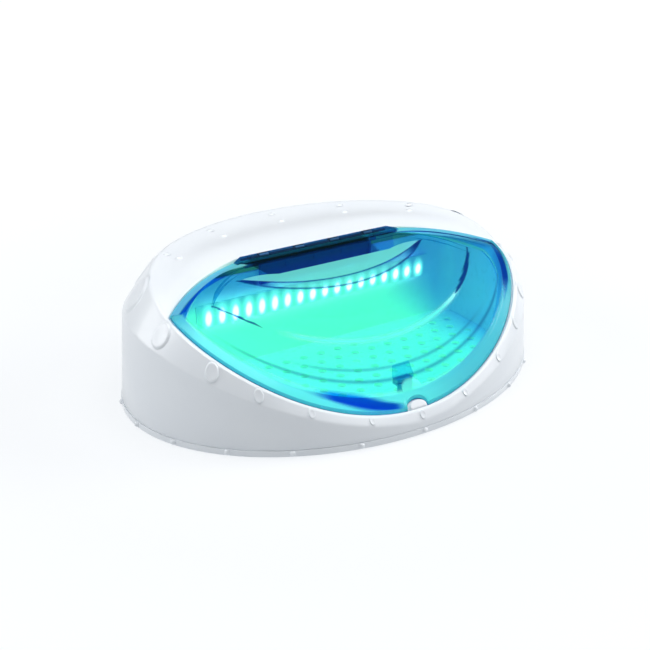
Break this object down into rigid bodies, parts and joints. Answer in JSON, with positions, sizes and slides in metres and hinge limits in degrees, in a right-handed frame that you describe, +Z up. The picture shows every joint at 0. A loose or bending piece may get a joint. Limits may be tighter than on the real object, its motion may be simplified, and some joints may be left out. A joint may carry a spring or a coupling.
{
  "type": "phone sanitizer box",
  "caption": "Oval lit sanitizer box for a phone, with a scooped rear deck, a hinged see-through stepped lid, a perforated tray and a push button at the front.",
  "frame": {"origin": "on the surface that the feet stand on, under the middle of the oval housing", "axes": "+X along the housing's length, to the right seen from the front; -Y to the front, where the button is; +Z up"},
  "size_m": [0.2622, 0.195, 0.0787],
  "materials": {
    "housing_white": "moulded, satin to glossy white with a faint lavender tint",
    "chamber_white": "moulded, smooth pale plastic that takes on the lamps' light",
    "lid_clear": "clear tinted, polished",
    "lens_clear": "clear, polished",
    "lamp": "pale lamp bodies, lit cyan-white",
    "hinge_blue": "dark blue, satin",
    "metal": "plated steel",
    "dark_plastic": "black moulded plastic",
    "circuit_board": "solder-masked board",
    "rubber": "soft grey-black rubber"
  },
  "bodies": {
    "housing": {"base_plate": "housing_white", "rubber_feet": "rubber", "base_screws": "metal", "outer_housing": "housing_white", "chamber_tub": "chamber_white", "phone_tray": "chamber_white", "led_board": "circuit_board", "leds": "lamp", "led_lens": "lens_clear", "hinge_cover": "hinge_blue", "hinge_bracket": "metal", "hinge_screws": "metal", "hinge_pin": "metal", "catch_plate": "metal", "button_spring": "metal", "button_switch": "dark_plastic", "button_board": "circuit_board", "lid_switch_spring": "metal", "lid_switch": "dark_plastic", "control_board": "circuit_board", "board_components": "dark_plastic", "board_screws": "metal", "dc_inlet": "dark_plastic"},
    "lid": {"lid": "lid_clear", "lid_hinge_strip": "lid_clear", "lid_catch": "lid_clear", "lid_magnet": "metal", "lid_bumpers": "lens_clear"},
    "start_button": {"start_button": "housing_white"},
    "lid_switch_plunger": {"lid_switch_plunger": "housing_white"}
  },
  "joints": [
    {"name": "lid_hinge", "type": "hinge", "parent": "housing", "child": "lid", "pos_m": [0, 0.0164, 0.0746], "axis": [-1, 0, 0], "range_deg": [0, 75]},
    {"name": "start_button", "type": "slide", "parent": "housing", "child": "start_button", "axis": [0, 0, -1], "range_m": [0, 0.0012], "stiffness_N_per_m": 400, "springref_m": -0.001, "deforming": ["button_spring"]},
    {"name": "lid_switch", "type": "slide", "parent": "housing", "child": "lid_switch_plunger", "axis": [0, 0, -1], "range_m": [0, 0.0012], "stiffness_N_per_m": 200, "springref_m": -0.001, "deforming": ["lid_switch_spring"]}
  ]
}
